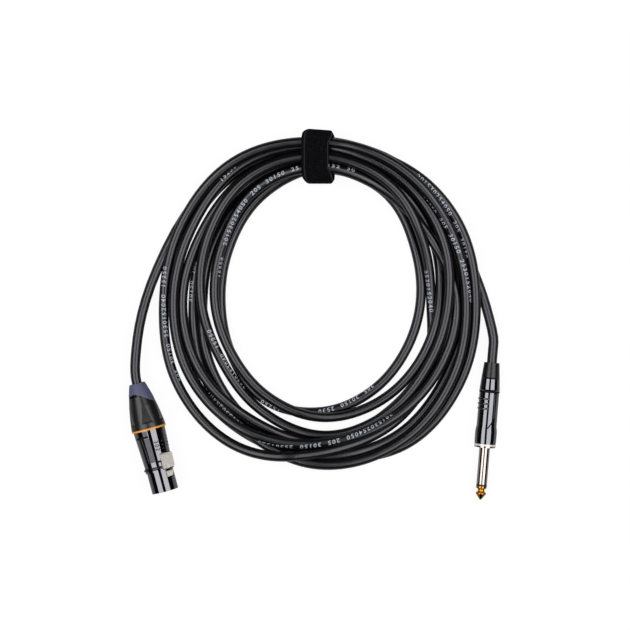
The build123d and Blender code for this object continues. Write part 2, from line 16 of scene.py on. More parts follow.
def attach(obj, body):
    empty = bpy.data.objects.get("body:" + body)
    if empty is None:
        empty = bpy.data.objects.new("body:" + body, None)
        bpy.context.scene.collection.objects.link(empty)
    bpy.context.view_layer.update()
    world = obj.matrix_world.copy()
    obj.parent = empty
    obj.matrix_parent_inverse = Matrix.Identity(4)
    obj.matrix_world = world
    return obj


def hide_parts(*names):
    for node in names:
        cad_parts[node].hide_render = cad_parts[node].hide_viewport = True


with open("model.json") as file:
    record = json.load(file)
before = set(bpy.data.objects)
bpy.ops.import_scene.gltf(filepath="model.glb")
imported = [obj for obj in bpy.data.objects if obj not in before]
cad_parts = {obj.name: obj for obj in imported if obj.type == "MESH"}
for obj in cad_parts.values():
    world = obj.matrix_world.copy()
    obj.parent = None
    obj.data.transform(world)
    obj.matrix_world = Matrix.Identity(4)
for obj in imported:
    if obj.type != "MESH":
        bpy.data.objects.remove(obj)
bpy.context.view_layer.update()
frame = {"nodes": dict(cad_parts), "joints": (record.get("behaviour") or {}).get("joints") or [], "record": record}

record = frame["record"]
nodes = frame["nodes"]
MM = 0.001

# %% [markdown]
# ## Two connector frames
# Each connector was turned on a lathe, so its own axis is the natural ruler: a
# station is a distance in millimetres from the end where the cable enters. The frame
# already knows both axes, from the nose and the finger that plug into other gear.

# %% Connector frames
nose_start = 60.25
finger_start = 63.25
mounts = {mount["name"]: mount for mount in record["mounts"]}
joints = {joint["name"]: joint for joint in frame["joints"]}


def connector_frame(mount_name, mount_station, out):
    """Matrix from a connector's own millimetres to the frame's metres."""
    mount = mounts[mount_name]
    z_dir = Vector(mount["axis"]).normalized()
    y_dir = z_dir.cross(Vector(out)).normalized()
    x_dir = y_dir.cross(z_dir)
    turn = Matrix((x_dir, y_dir, z_dir)).transposed()
    origin = Vector(mount["pos_m"]) - z_dir * mount_station * MM
    return Matrix.Translation(origin) @ turn.to_4x4() @ Matrix.Scale(MM, 4)


latch_axis = Vector(joints["latch_press"]["axis"])
xlr_axis = Vector(mounts["xlr_nose"]["axis"])
latch_side = xlr_axis.cross(latch_axis)
xlr = connector_frame("xlr_nose", nose_start, latch_side)
jack = connector_frame("jack_finger", finger_start, (0, 0, 1))
xlr_entry = xlr @ Vector((0, 0, 0))
jack_entry = jack @ Vector((0, 0, 0))
print("cable enters at", xlr_entry, "and", jack_entry)

# %% [markdown]
# ## Camera
# A coiled cable shows best from straight above, with the camera about a metre up. A
# long lens that sees 378 mm at the height of the cable keeps the barrels from looking
# stretched. The camera looks down, with +Y at the top.

# %% Camera
camera_height = 1.0
view_width = 0.378
cable_level = 0.008
view_centre = Vector((0.0001, -0.0003, 0.0))

camera_data = bpy.data.cameras.new("camera")
camera_data.sensor_width = 36.0
camera_data.lens = camera_data.sensor_width * (camera_height - cable_level) / view_width
camera_data.clip_start = 0.01
camera = bpy.data.objects.new("camera", camera_data)
camera.location = view_centre + Vector((0, 0, camera_height))
bpy.context.scene.collection.objects.link(camera)
bpy.context.scene.camera = camera
print("lens", round(camera_data.lens, 1), "mm")

# %% [markdown]
# ## Colours and nodes
# Colours are picked as sRGB hex values, but shader nodes count in linear light, so
# one function turns them. A second small function adds a node, sets it and links it.

# %% Colour and node helpers


def linear(code, alpha=1.0):
    """sRGB hex such as '1a1a1f' to a linear RGBA tuple."""
    parts = [int(code[i:i + 2], 16) / 255 for i in (0, 2, 4)]
    light = [c / 12.92 if c <= 0.04045 else ((c + 0.055) / 1.055) ** 2.4 for c in parts]
    return (*light, alpha)


def add(tree, kind, inputs=None, **settings):
    """A node of that kind, with its settings, and its inputs set or linked."""
    made = tree.nodes.new(kind)
    for key, value in settings.items():
        setattr(made, key, value)
    for key, value in (inputs or {}).items():
        if isinstance(value, bpy.types.NodeSocket):
            tree.links.new(value, made.inputs[key])
        else:
            made.inputs[key].default_value = value
    return made


def new_material(name):
    """An empty node material and its tree."""
    material = bpy.data.materials.new(name)
    material.use_nodes = True
    material.node_tree.nodes.clear()
    print("material", name)
    return material, material.node_tree


def per_mm(pitch_mm):
    """Texture scale for a feature of that many millimetres, on coordinates in metres."""
    return 1.0 / (pitch_mm * MM)


# %% [markdown]
# ## Floor and light
# The cable lies on a white sweep. Seen directly the floor is white paper, and it keeps
# a faint shadow; to the lamps it is a pale matt surface. In a mirror finish it shows a
# painted pool of light: a grey glow that fades outwards, standing in for paper that the
# lamps don't reach. Two long soft boxes, left and right of the camera, draw the pale
# strips along every glossy barrel, and the gap between them shows as the dark line in the middle.

# %% Floor
floor_size = 12.0
paper_glow = 0.9
seen_paper = 1.03
# In reflections the floor glows brighter near the cable and dimmer further out: a painted pool of light.
painted_pool_near = 0.42
painted_pool_far = 0.12
pool_edge = 0.14
pool_end = 0.4
floor_material, tree = new_material("white_sweep_paper")
rays = add(tree, "ShaderNodeLightPath")
seen = add(tree, "ShaderNodeMath", {0: rays.outputs["Is Camera Ray"],
                                    1: rays.outputs["Is Glossy Ray"]}, operation="MAXIMUM")
seen = add(tree, "ShaderNodeMath", {0: seen.outputs[0],
                                    1: rays.outputs["Is Transmission Ray"]}, operation="MAXIMUM")
share = add(tree, "ShaderNodeMath", {0: seen.outputs[0], 1: paper_glow}, operation="MULTIPLY")
paper = add(tree, "ShaderNodeBsdfDiffuse", {"Color": linear("f4f4f4")})
where = add(tree, "ShaderNodeTexCoord")
reach = add(tree, "ShaderNodeVectorMath", {0: where.outputs["Object"]}, operation="LENGTH")
pool = add(tree, "ShaderNodeMapRange", {"Value": reach.outputs["Value"], "From Min": pool_edge,
                                        "From Max": pool_end, "To Min": painted_pool_near,
                                        "To Max": painted_pool_far})
white = add(tree, "ShaderNodeMapRange", {"Value": rays.outputs["Is Camera Ray"],
                                         "To Min": pool.outputs["Result"],
                                         "To Max": seen_paper})
glow = add(tree, "ShaderNodeEmission", {"Color": linear("ffffff"),
                                        "Strength": white.outputs["Result"]})
mixed = add(tree, "ShaderNodeMixShader", {0: share.outputs[0], 1: paper.outputs[0],
                                          2: glow.outputs[0]})
add(tree, "ShaderNodeOutputMaterial", {"Surface": mixed.outputs[0]})

floor_mesh = bpy.data.meshes.new("floor")
shape = bmesh.new()
bmesh.ops.create_grid(shape, x_segments=1, y_segments=1, size=floor_size / 2)
shape.to_mesh(floor_mesh)
shape.free()
floor_mesh.materials.append(floor_material)
floor = bpy.data.objects.new("floor", floor_mesh)
bpy.context.scene.collection.objects.link(floor)
print("floor", floor_size, "m")

# %% World
room_light = 0.012
scene = bpy.context.scene
scene.view_settings.view_transform = "Standard"
world = bpy.data.worlds.new("studio")
world.use_nodes = True
scene.world = world
tree = world.node_tree
tree.nodes.clear()
rays = add(tree, "ShaderNodeLightPath")
room = add(tree, "ShaderNodeBackground", {"Color": linear("ffffff"), "Strength": room_light})
backdrop = add(tree, "ShaderNodeBackground", {"Color": linear("ffffff"), "Strength": 1.0})
mixed = add(tree, "ShaderNodeMixShader", {0: rays.outputs["Is Camera Ray"],
                                          1: room.outputs[0], 2: backdrop.outputs[0]})
add(tree, "ShaderNodeOutputWorld", {"Surface": mixed.outputs[0]})
print("room light", room_light)

# %% Soft boxes
lamp_height = 1.3
gap_left = -0.29
gap_right = 0.22
lamp_reach = 1.6
lamp_length = 1.75
left_watts = 20.0
right_watts = 21.0


def soft_box(name, low_x, high_x, watts):
    """A soft box from low_x to high_x, level, above the cable."""
    lamp = bpy.data.lights.new(name, "AREA")
    lamp.shape = "RECTANGLE"
    lamp.size = high_x - low_x
    lamp.size_y = lamp_length
    lamp.energy = watts
    holder = bpy.data.objects.new(name, lamp)
    holder.location = ((low_x + high_x) / 2, 0, lamp_height)
    bpy.context.scene.collection.objects.link(holder)


soft_box("soft_box_left", -lamp_reach, gap_left, left_watts)
soft_box("soft_box_right", gap_right, lamp_reach, right_watts)
print("gap between the soft boxes", round(gap_right - gap_left, 2), "m")

# %% [markdown]
# ## Finishes
# Every surface gets its own small network of nodes. A pattern is scaled by a real size
# in millimetres, so that the grain of the rubber or of the strap is as fine as it is in
# the hand. Many surfaces are one idea, a tone that drifts a little, so one function
# makes those. The finishes are kept by the name of the engineering model's slot.

# %% Finishes by slot
finishes = {}
noise_low = 0.3
noise_high = 0.7


def mottled(name, pitch_mm, detail, tones, shine, polish=None, relief=None):
    """A surface that drifts between two tones over cloudy noise of that pitch.

    polish is the roughness from the low to the high side of the noise. relief is the
    pitch, detail, strength and depth of a grain pressed into the surface.
    """
    material, tree = new_material(name)
    where = add(tree, "ShaderNodeTexCoord")
    cloud = add(tree, "ShaderNodeTexNoise", {"Vector": where.outputs["Object"],
                                             "Scale": per_mm(pitch_mm), "Detail": detail})
    tint = add(tree, "ShaderNodeMix", {0: cloud.outputs["Fac"], 6: linear(tones[0]),
                                       7: linear(tones[1])}, data_type="RGBA")
    inputs = {"Base Color": tint.outputs[2], **shine}
    if polish:
        skin = add(tree, "ShaderNodeMapRange", {
            "Value": cloud.outputs["Fac"], "From Min": noise_low, "From Max": noise_high,
            "To Min": polish[0], "To Max": polish[1]})
        inputs["Roughness"] = skin.outputs["Result"]
    if relief:
        grain = add(tree, "ShaderNodeTexNoise", {"Vector": where.outputs["Object"],
                                                 "Scale": per_mm(relief[0]),
                                                 "Detail": relief[1]})
        bump = add(tree, "ShaderNodeBump", {"Height": grain.outputs["Fac"],
                                            "Strength": relief[2],
                                            "Distance": relief[3] * MM})
        inputs["Normal"] = bump.outputs["Normal"]
    surface = add(tree, "ShaderNodeBsdfPrincipled", inputs)
    add(tree, "ShaderNodeOutputMaterial", {"Surface": surface.outputs[0]})
    return material


# %% [markdown]
# ### Cable jacket
# The cable is black PVC, extruded hot round its copper screen and pulled through a
# die. The die leaves a satin skin: the soft boxes draw one broad, soft stripe along it,
# and a faint unevenness keeps the stripe from looking drawn with a ruler.

# %% Cable jacket
finishes["cable_jacket"] = mottled("extruded_black_pvc", 9.0, 3.0, ("060607", "0b0b0d"),
                                   {"Specular IOR Level": 0.8,
                                    "Specular Tint": linear("f2f0f8")},
                                   polish=(0.26, 0.32), relief=(0.4, 2.0, 0.05, 0.01))

# %% [markdown]
# ### Strap fabric
# The tie is a strip of hook-and-loop: brushed nylon loops outside, cut from a wide roll.
# The loops scatter light every way, so the strap is a flat near-black with no stripe,
# broken by tiny paler flecks where a loop catches the light. Its heat-cut edges are
# woven tighter and look a shade paler, so they get a material of their own.

# %% Strap fabric
finishes["strap_fabric"], tree = new_material("brushed_nylon_loop")
where = add(tree, "ShaderNodeTexCoord")
loops = add(tree, "ShaderNodeTexNoise", {"Vector": where.outputs["Object"],
                                         "Scale": per_mm(0.5), "Detail": 3.0, "Roughness": 0.7})
fleck = add(tree, "ShaderNodeMapRange", {"Value": loops.outputs["Fac"], "From Min": 0.5,
                                         "From Max": 0.62})
patch = add(tree, "ShaderNodeTexNoise", {"Vector": where.outputs["Object"],
                                         "Scale": per_mm(1.4), "Detail": 2.0})
ground = add(tree, "ShaderNodeMix", {0: patch.outputs["Fac"], 6: linear("010101"),
                                     7: linear("0d0d10")}, data_type="RGBA")
tint = add(tree, "ShaderNodeMix", {0: fleck.outputs["Result"], 6: ground.outputs[2],
                                   7: linear("1d1d22")}, data_type="RGBA")
relief = add(tree, "ShaderNodeBump", {"Height": loops.outputs["Fac"], "Strength": 0.7,
                                      "Distance": 0.15 * MM})
surface = add(tree, "ShaderNodeBsdfPrincipled", {
    "Base Color": tint.outputs[2], "Roughness": 1.0, "Specular IOR Level": 0.03,
    "Normal": relief.outputs["Normal"]})
add(tree, "ShaderNodeOutputMaterial", {"Surface": surface.outputs[0]})

# %% Threads
thread_relief = 0.5


def threaded(name, pitch_mm, tones, depth_mm, shine):
    """Packed threads of that pitch, raised in the middle, with painted shade that darkens the gaps between them.
    """
    material, tree = new_material(name)
    where = add(tree, "ShaderNodeTexCoord")
    cells = add(tree, "ShaderNodeTexVoronoi", {"Vector": where.outputs["Object"],
                                               "Scale": per_mm(pitch_mm)})
    # The second tone is painted shade in the gaps between the threads.
    tint = add(tree, "ShaderNodeMix", {0: cells.outputs["Distance"], 6: linear(tones[0]),
                                       7: linear(tones[1])}, data_type="RGBA")
    bump = add(tree, "ShaderNodeBump", {"Height": cells.outputs["Distance"],
                                        "Strength": thread_relief,
                                        "Distance": depth_mm * MM}, invert=True)
    surface = add(tree, "ShaderNodeBsdfPrincipled", {
        "Base Color": tint.outputs[2], "Normal": bump.outputs["Normal"], **shine})
    add(tree, "ShaderNodeOutputMaterial", {"Surface": surface.outputs[0]})
    return material


# The heat-cut edge is darker between its threads: painted shade.
strap_edge = threaded("heat_cut_nylon_edge", 0.45, ("2c2b30", "1a1a1e"), 0.1,
                      {"Roughness": 0.8, "Specular IOR Level": 0.2})

# %% [markdown]
# ### Black chrome
# Both barrels are brass or die-cast zinc, polished and then plated with black chrome. It
# is a dark mirror: it shows the two soft boxes as pale strips and the dark room
# between them as black, which is the hard light and dark that the eye reads as plated.

# %% Black chrome
finishes["black_shell"] = mottled("polished_black_chrome", 6.0, 4.0, ("6e6e73", "78787d"),
                                  {"Metallic": 1.0}, polish=(0.035, 0.055))

# %% Shaded chrome and painted glint
# A darker copy of the chrome is painted shade for the pressed panels, the flange and the dots,
# which see less of the room. A paler, duller copy is a painted glint along raised edges.
shaded_chrome = mottled("shaded_black_chrome", 2.0, 3.0, ("3c3c40", "48484c"),
                        {"Metallic": 1.0, "Roughness": 0.09})
painted_glint_chrome = mottled("chrome_edge_painted_glint", 1.0, 3.0, ("74747e", "8c8c96"),
                      {"Metallic": 0.7, "Roughness": 0.35})

# %% [markdown]
# ### Moulded black nylon
# The XLR insert, the chuck and the jack's insulator are moulded nylon. Glass fibre in
# it leaves a fine dry grain, so it stays duller than the cable.

# %% Moulded nylon
finishes["black_plastic"] = mottled("moulded_black_nylon", 0.3, 2.0, ("0a0a0b", "161617"),
                                    {"Roughness": 0.45}, relief=(0.3, 2.0, 0.3, 0.02))

# %% [markdown]
# ### Nickel
# The finger of the jack, its rim and the XLR's latch are turned or stamped metal with a
# bright, slightly warm nickel plate. Fine turning marks blur the reflection a little.

# %% Nickel
finishes["nickel"] = mottled("bright_nickel_plate", 0.3, 2.0, ("a9a09a", "b3aaa4"),
                             {"Metallic": 1.0}, polish=(0.08, 0.1))

# %% Satin nickel
# The lever is tumbled before plating, so it scatters light and looks almost cream.
satin_nickel = mottled("tumbled_nickel_stamping", 1.2, 3.0, ("f0e9df", "faf4ea"),
                       {"Metallic": 0.3, "Roughness": 0.36})

# %% [markdown]
# ### Gold
# The jack's tip and the XLR's sockets are gold over nickel, because gold doesn't
# tarnish. On the tip the plate is thick and bright, and on the sockets thin and satin.

# %% Gold plate
finishes["gold_tip"] = mottled("bright_gold_plate", 1.5, 3.0, ("a8741e", "c08a34"),
                               {"Metallic": 1.0, "Roughness": 0.1})

finishes["contact_gold"] = mottled("satin_gold_flash", 0.5, 2.0, ("dcae5c", "dcae5c"),
                                   {"Metallic": 1.0}, polish=(0.256, 0.304))

# %% [markdown]
# ### Spring steel
# The latch pin and its spring are hard-drawn steel: grey, and streaked by the drawing die.

# %% Spring steel
finishes["spring_steel"] = mottled("drawn_spring_steel", 0.4, 4.0, ("8c8c8e", "b4b4b6"),
                                   {"Metallic": 1.0, "Roughness": 0.3})

# %% [markdown]
# ### Coloured ring
# The ring is acetal, dyed through, in the orange that tells one cable from another on a
# stage. It is satin, and a little light runs inside it.

# %% Orange ring
finishes["orange_ring"] = mottled("orange_acetal", 2.5, 2.0, ("e8962a", "f6aa42"),
                                  {"Roughness": 0.38})

# %% [markdown]
# ### Boots
# The black bushing is hard nylon with a spark-eroded, satin texture. The slate sleeve
# over its end is soft thermoplastic rubber, duller and bluish. The jack's boot is
# rubber too, almost black, with the soft shine that rubber gets from its mould.

# %% Bushing nylon
finishes["boot_plastic"] = mottled("spark_eroded_nylon", 5.0, 2.0, ("121213", "1b1b1d"),
                                   {"Roughness": 0.3, "Specular IOR Level": 0.6},
                                   relief=(0.35, 3.0, 0.3, 0.02))

# %% Sleeve and boot rubber
finishes["slate_rubber"] = mottled("slate_soft_rubber", 0.5, 3.0, ("4e516a", "5b5f7c"),
                                   {"Roughness": 0.55}, relief=(0.5, 3.0, 0.3, 0.03))
finishes["boot_rubber"] = mottled("moulded_black_rubber", 3.0, 3.0, ("0c0c0e", "17171a"),
                                  {}, polish=(0.26, 0.31))

# %% [markdown]
# ### Inside the connectors
# Pieces that only show when a barrel is unscrewed still get their real surface: a
# white nylon part, two dyed PVC wires and the tinned copper braid of the screen.

# %% White plastic and wires
finishes["white_plastic"] = mottled("natural_white_nylon", 2.0, 2.0, ("d2d0c4", "e2e0d6"),
                                    {"Roughness": 0.42})
wire_dyes = {"red_wire": ("a01414", "bc2222"), "white_wire": ("dadad6", "ececea")}
for slot_name, dyes in wire_dyes.items():
    finishes[slot_name] = mottled(slot_name + "_pvc", 1.2, 2.0, dyes, {"Roughness": 0.38})

# %% Screen braid
# The braid is darker between its wires: painted shade.
finishes["screen_wire"] = threaded("twisted_tinned_copper", 0.3, ("d8a888", "9a6a4c"), 0.05,
                                   {"Metallic": 1.0, "Roughness": 0.35})

# %% [markdown]
# ### Ink and shadow lines
# The lettering on the jacket is pale ink, printed by a wheel as the cable runs past, and
# here it is plain figures. The engraved lines, grooves and ledges of the connectors are painted
# shade, a near-black that holds no light at all, and the engraved figures use the same near-black.

# %% Ink and engraving
pale_ink = mottled("pale_blue_white_ink", 0.7, 3.0, ("8e96a2", "ccd4e0"), {"Roughness": 0.6})
engraved = mottled("engraved_shadow", 0.8, 2.0, ("030304", "09090b"),
                   {"Roughness": 0.5, "Specular IOR Level": 0.2})

# %% Dress the engineering pieces
for part in record["subparts"]:
    piece = nodes[part["node"]]
    piece.data.materials.clear()
    piece.data.materials.append(finishes[part["material_slot"]])
nodes["xlr_latch"].data.materials[0] = satin_nickel
print(len(finishes), "finishes on", len(record["subparts"]), "pieces")

# %% [markdown]
# ## The cable's route
# A five metre cable is one length of PVC hose round a copper screen. It leaves the XLR
# connector, goes round nine times and ends in the jack plug. The two free stretches
# are short lists of points. The turns come from a loop: each turn has a radius at every
# 30 degrees, clockwise from the tie, and a storey in the pile, from the floor up.

# %% Cable sizes
cable_d = 6.0
coil_x = 4.3
coil_y = 7.5
bend_xlr = 5.0
jack_slide = 9.0
bend_jack = 15.6
print("cable", cable_d, "mm thick")

# %% Turns of the coil
turn_radii = [
    (95.6, 93.7, 90.7, 87.3, 87, 92.2, 92.8, 91.4, 90.2, 89.1, 91.2, 94.2),
    (92.5, 93.8, 94, 92.4, 96.4, 99.8, 92.1, 84.9, 78, 72.5, 74.6, 79.8),
    (80.8, 76.4, 64.9, 59.5, 58.4, 61.5, 66.3, 68.4, 63.1, 61.1, 64.9, 73.5),
    (81, 82.5, 77.1, 70.5, 68.8, 69.1, 69.2, 65.5, 62.5, 64.3, 69, 78),
    (80, 76.5, 75.5, 80.6, 80.8, 81.5, 84.4, 89.6, 90.9, 89.1, 90, 95.4),
    (92.5, 88.5, 82, 75.6, 73.9, 77.7, 80.5, 74.7, 69.9, 72.5, 78.7, 86.5),
    (86.5, 80.8, 70.2, 65.9, 72.9, 77.5, 84.5, 82.5, 84, 84.1, 83, 87.8),
    (89.5, 84.5, 85.2, 82.6, 78.9, 84.7, 90, 100.5, 100, 95.2, 96.5, 98.8),
    (94.9, 92.4, 88.2, 86.5, 90.7, 96.3, 97.2, 90, 83, 77, 80.5, 83.5),
]
turn_storeys = [
    (3, 3, 3, 3, 3, 3, 3, 3, 1, 1, 1, 1),
    (2, 4, 5, 5, 4, 1, 0, 0, 0, 0, 0, 0),
    (0, 0, 0, 1, 1, 1, 1, 1, 1, 1, 1, 1),
    (2, 2, 3, 3, 3, 3, 3, 3, 3, 4, 5, 5),
    (5, 5, 5, 6, 6, 6, 6, 6, 6, 6, 6, 6),
    (8, 8, 8, 8, 7, 4, 4, 4, 4, 5, 6, 7),
    (7, 7, 5, 2, 1, 1, 1.5, 4, 4, 4, 4, 4),
    (1, 1, 1, 1, 2, 4, 7, 7, 7, 7, 7, 7),
    (9, 9, 9, 9, 9, 7, 4, 3, 2, 2, 2, 2),
]
radii = [99, 98] + [r for turn in turn_radii for r in turn] + [86.5, 92, 94, 94.5]
storeys = [0, 0] + [s for turn in turn_storeys for s in turn] + [0, 0, 0, 0]
print(len(turn_radii), "turns")

# %% [markdown]
# ### Letting the turns settle
# The turns start stacked by storey, so that each passes over and under the right ones.
# Then they sink a little at a time, and wherever two come closer than the cable is
# thick, they are pushed apart. A stiff cable can't bend sharply, so each step also
# smooths the heights. It is the same idea as a physics simulation, in one small loop.

# %% Angles of the coil
angle_step = 6
knot_step = 30
turns_end = 360 * len(turn_radii)
first_angle = -2 * knot_step
last_angle = turns_end + 3 * knot_step
angles = np.arange(first_angle, last_angle + 1, angle_step)
print(len(angles), "points on the coil")

# %% Coil before it settles


def curve_at(values, place):
    """A smooth curve through evenly spaced values, read at a place counted in steps."""
    values = np.array(values, float)
    step = np.clip(np.floor(place).astype(int), 0, len(values) - 2)
    f = place - step
    p = [values[np.clip(step + k, 0, len(values) - 1)] for k in (-1, 0, 1, 2)]
    return 0.5 * (2 * p[1] + (p[2] - p[0]) * f + (2 * p[0] - 5 * p[1] + 4 * p[2] - p[3]) * f**2
                  + (3 * p[1] - p[0] - 3 * p[2] + p[3]) * f**3)


drawn_radius = curve_at(radii, (angles - first_angle) / knot_step)
knots = first_angle + knot_step * np.arange(len(storeys))
height = cable_d / 2 + np.interp(angles, knots, storeys) * cable_d
radius = drawn_radius.copy()
columns = [np.where((angles - first) % 360 == 0)[0] for first in range(0, 360, angle_step)]
couples = np.array([(i, j) for c in columns for i in c for j in c if i < j])
one, two = couples[:, 0], couples[:, 1]
print(len(couples), "pairs of points can touch")

# %% Room under the tie
strap_bottom = 1.7
strap_ceiling = 18.3
open_ceiling = 20.4
mean_radius = 88
tie_reach = 1.6
tie_slope = 14
from_tie = np.abs((angles + 180) % 360 - 180) * math.pi / 180 * mean_radius
in_strap = np.clip(tie_reach - from_tie / tie_slope, 0, 1)
lowest = cable_d / 2 + strap_bottom * in_strap
highest = open_ceiling - (open_ceiling - strap_ceiling) * in_strap - cable_d / 2
print("under the tie the cables have", round(strap_ceiling - strap_bottom, 1), "mm")

# %% Settle the coil


def relax(values, share):
    """Each value moves towards the middle of its two neighbours."""
    out = values.copy()
    out[1:-1] += share * (0.5 * (values[:-2] + values[2:]) - values[1:-1])
    return out


settle_steps = 1000
lid_rises = 45.0
lid_steps = 700
sink = 0.08
radius_spring = 0.8
pushes = 4
push_up = 0.3
push_aside = 0.2
tiny = 1e-9
for step in range(settle_steps):
    lid = highest + lid_rises * max(0.0, 1 - step / lid_steps)
    height = relax(relax(height - sink, 0.5), 0.5)
    radius = drawn_radius + radius_spring * relax(relax(radius - drawn_radius, 0.5), 0.5)
    for push in range(pushes):
        across = radius[one] - radius[two]
        above = height[one] - height[two]
        apart = np.hypot(across, above) + tiny
        overlap = push_up * np.clip(cable_d - apart, 0, None)
        np.add.at(radius, one, push_aside * overlap * across / apart)
        np.add.at(radius, two, -push_aside * overlap * across / apart)
        np.add.at(height, one, overlap * above / apart)
        np.add.at(height, two, -overlap * above / apart)
        height = np.clip(height, lowest, lid)
print("coil stands", round(float(height.max() + cable_d / 2), 1), "mm high")

# %% The whole route


def route_point(x, y, z):
    """A given point of the route, millimetres to metres."""
    return Vector((x, y, z)) * MM


xlr_tail = [
    xlr_entry,
    xlr @ Vector((0, 0, -bend_xlr)),
    route_point(-107.4, -24.0, 10.0),
    route_point(-105.0, -3.5, 8.4),
    route_point(-97.9, 21.5, 5.0),
    route_point(-80.8, 57.6, 2.85),
    route_point(-61.7, 79.5, 3.05),
]
jack_tail = [
    route_point(70.4, 72.6, 3.05),
    route_point(87.2, 46.4, 2.85),
    route_point(96.0, 25.5, 3.4),
    route_point(102.0, 9.0, 4.9),
    jack @ Vector((0, 0, -bend_jack)),
    jack @ Vector((0, 0, -jack_slide)),
    jack_entry,
]
lead = 36
coil = []
for angle, r, z in zip(angles, radius, height):
    if -lead <= angle <= turns_end + lead:
        turned = math.radians(angle)
        coil.append(route_point(coil_x + r * math.sin(turned), coil_y + r * math.cos(turned), z))
route = xlr_tail + coil + jack_tail
print(len(route), "points")

# %% Cable
cable_curve = bpy.data.curves.new("cable", "CURVE")
cable_curve.dimensions = "3D"
cable_curve.resolution_u = 3
cable_curve.bevel_depth = cable_d / 2 * MM
cable_curve.bevel_resolution = 6
spline = cable_curve.splines.new("NURBS")
spline.points.add(len(route) - 1)
for point, place in zip(spline.points, route):
    point.co = (*place, 1.0)
spline.order_u = 3
spline.use_endpoint_u = True
cable_curve.materials.append(finishes["cable_jacket"])
cable = bpy.data.objects.new("cable_line", cable_curve)
scene.collection.objects.link(cable)

line_curve = cable_curve.copy()
line_curve.bevel_depth = 0
line_object = bpy.data.objects.new("line", line_curve)
line_mesh = bpy.data.meshes.new_from_object(line_object)
line = np.array([v.co for v in line_mesh.vertices])
bpy.data.objects.remove(line_object)

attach(cable, "cable")
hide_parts("cable_coil", "xlr_tail", "jack_tail")

# %% [markdown]
# ## Pieces added for the eye
# Each new piece starts as a simple mesh from one operator, such as a circle, a grid or a
# profile that is spun, and then its points are moved onto the real surface. One
# function makes the object: it smooths the mesh, gives it its finish and says which
# body carries it.

# %% Make a piece
FULL_TURN = 2 * math.pi
usual_crease = math.radians(38)
merge_mm = 0.0005


def make_piece(shape, name, body, slot, finish=None, place=None, crease=usual_crease):
    """Turn a bmesh into an object that rides on a body, with smooth faces and sharp edges."""
    if place is not None:
        bmesh.ops.transform(shape, matrix=place, verts=shape.verts)
    mesh = bpy.data.meshes.new(name)
    shape.to_mesh(mesh)
    shape.free()
    mesh.shade_smooth()
    mesh.set_sharp_from_angle(angle=crease)
    mesh.materials.append(finish or finishes[slot])
    made = bpy.data.objects.new(name, mesh)
    scene.collection.objects.link(made)
    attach(made, body)
    print("piece", name, "with", len(mesh.polygons), "faces")
    return made


def spun(profile, segments=96, turn=FULL_TURN):
    """A bmesh turned on a lathe: (radius, station) points spun about Z."""
    shape = bmesh.new()
    points = [shape.verts.new((r, 0, z)) for r, z in profile]
    edges = [shape.edges.new(pair) for pair in zip(points, points[1:])]
    bmesh.ops.spin(shape, geom=points + edges, cent=(0, 0, 0), axis=(0, 0, 1),
                   angle=turn, steps=segments, use_merge=turn == FULL_TURN)
    bmesh.ops.remove_doubles(shape, verts=shape.verts, dist=merge_mm)
    if turn < FULL_TURN:
        bmesh.ops.holes_fill(shape, edges=shape.edges, sides=0)
    bmesh.ops.recalc_face_normals(shape, faces=shape.faces)
    return shape


# %% [markdown]
# ## Turned metal, made smooth
# The engineering pieces are fine triangles with flat shading, which is right for
# measuring, but a mirror finish shows each flat. A lathe leaves a true round, so each
# turned piece gets a copy whose corners are merged and whose curved faces are smoothed.

# %% Smooth copies
turned_pieces = {"coding_ring": "coding_ring", "jack_tip": "cable", "jack_boot": "jack_boot",
                 "jack_collar": "jack_barrel", "jack_barrel": "jack_barrel"}
slots = {part["node"]: part["material_slot"] for part in record["subparts"]}
merge_gap = 0.002 * MM
turned_crease = math.radians(17)
for node_name, body in turned_pieces.items():
    shape = bmesh.new()
    shape.from_mesh(nodes[node_name].data)
    bmesh.ops.remove_doubles(shape, verts=shape.verts, dist=merge_gap)
    turned = make_piece(shape, "smooth_" + node_name, body, slots[node_name],
                        crease=turned_crease)
    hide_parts(node_name)
print(len(turned_pieces), "turned pieces smoothed")

# %% [markdown]
# ## The tie
# A hook-and-loop tie is one flat strip, wrapped round the bundle and pressed on itself. It
# never lies quite square: here its top has slid one way, and its sides lean back
# to where the cables let it. The loop is a circle of edges placed on a rounded
# rectangle, pulled along the bundle column by column, and leant over. The two columns by
# the edges carry the paler, tighter weave.

# %% Strap sizes
strap_x = 1.3
strap_y = 94.8
strap_loop = 33.0
strap_high = 20.0
strap_corner = 8.6
strap_thick = 1.3
strap_left = -9.3
strap_right = 6.9
foot_left = -6.4
foot_right = 9.8
edge_curl = 0.7
rim_curl = 2.2
skew = 1.2
side_power = 4.5
foot_flare = 1.2
loop_points = 120
rim_softness = 0.35
strap_columns = [0, 0.03, 0.09, 0.125, 0.2, 0.35, 0.5, 0.65, 0.8, 0.9, 0.945, 0.98, 1.0]
edge_columns = (2, 10)
curl_end = strap_columns[3]
rim_start = strap_columns[9]

# %% Strap


def strap_outline(around):
    """A point of the loop, (y, z), for an angle around it from its top."""
    flat_y = strap_loop / 2 - strap_corner
    flat_z = strap_high / 2 - strap_corner
    y = math.sin(around)
    z = math.cos(around)
    square = max(abs(y), abs(z))
    y = y * (flat_y / square + strap_corner)
    z = z * (flat_z / square + strap_corner)
    return y, strap_high / 2 + z


shape = bmesh.new()
loop = bmesh.ops.create_circle(shape, segments=loop_points, radius=1.0, cap_ends=False)["verts"]
for vert in loop:
    y, z = strap_outline(math.atan2(vert.co.x, vert.co.y))
    vert.co = (strap_columns[0], y, z)
front = list(shape.edges)
for before, after in zip(strap_columns, strap_columns[1:]):
    grown = bmesh.ops.extrude_edge_only(shape, edges=front)["geom"]
    front = [item for item in grown if isinstance(item, bmesh.types.BMEdge)
             and all(v in grown for v in item.verts)]
    moved = [item for item in grown if isinstance(item, bmesh.types.BMVert)]
    bmesh.ops.translate(shape, verts=moved, vec=(after - before, 0, 0))

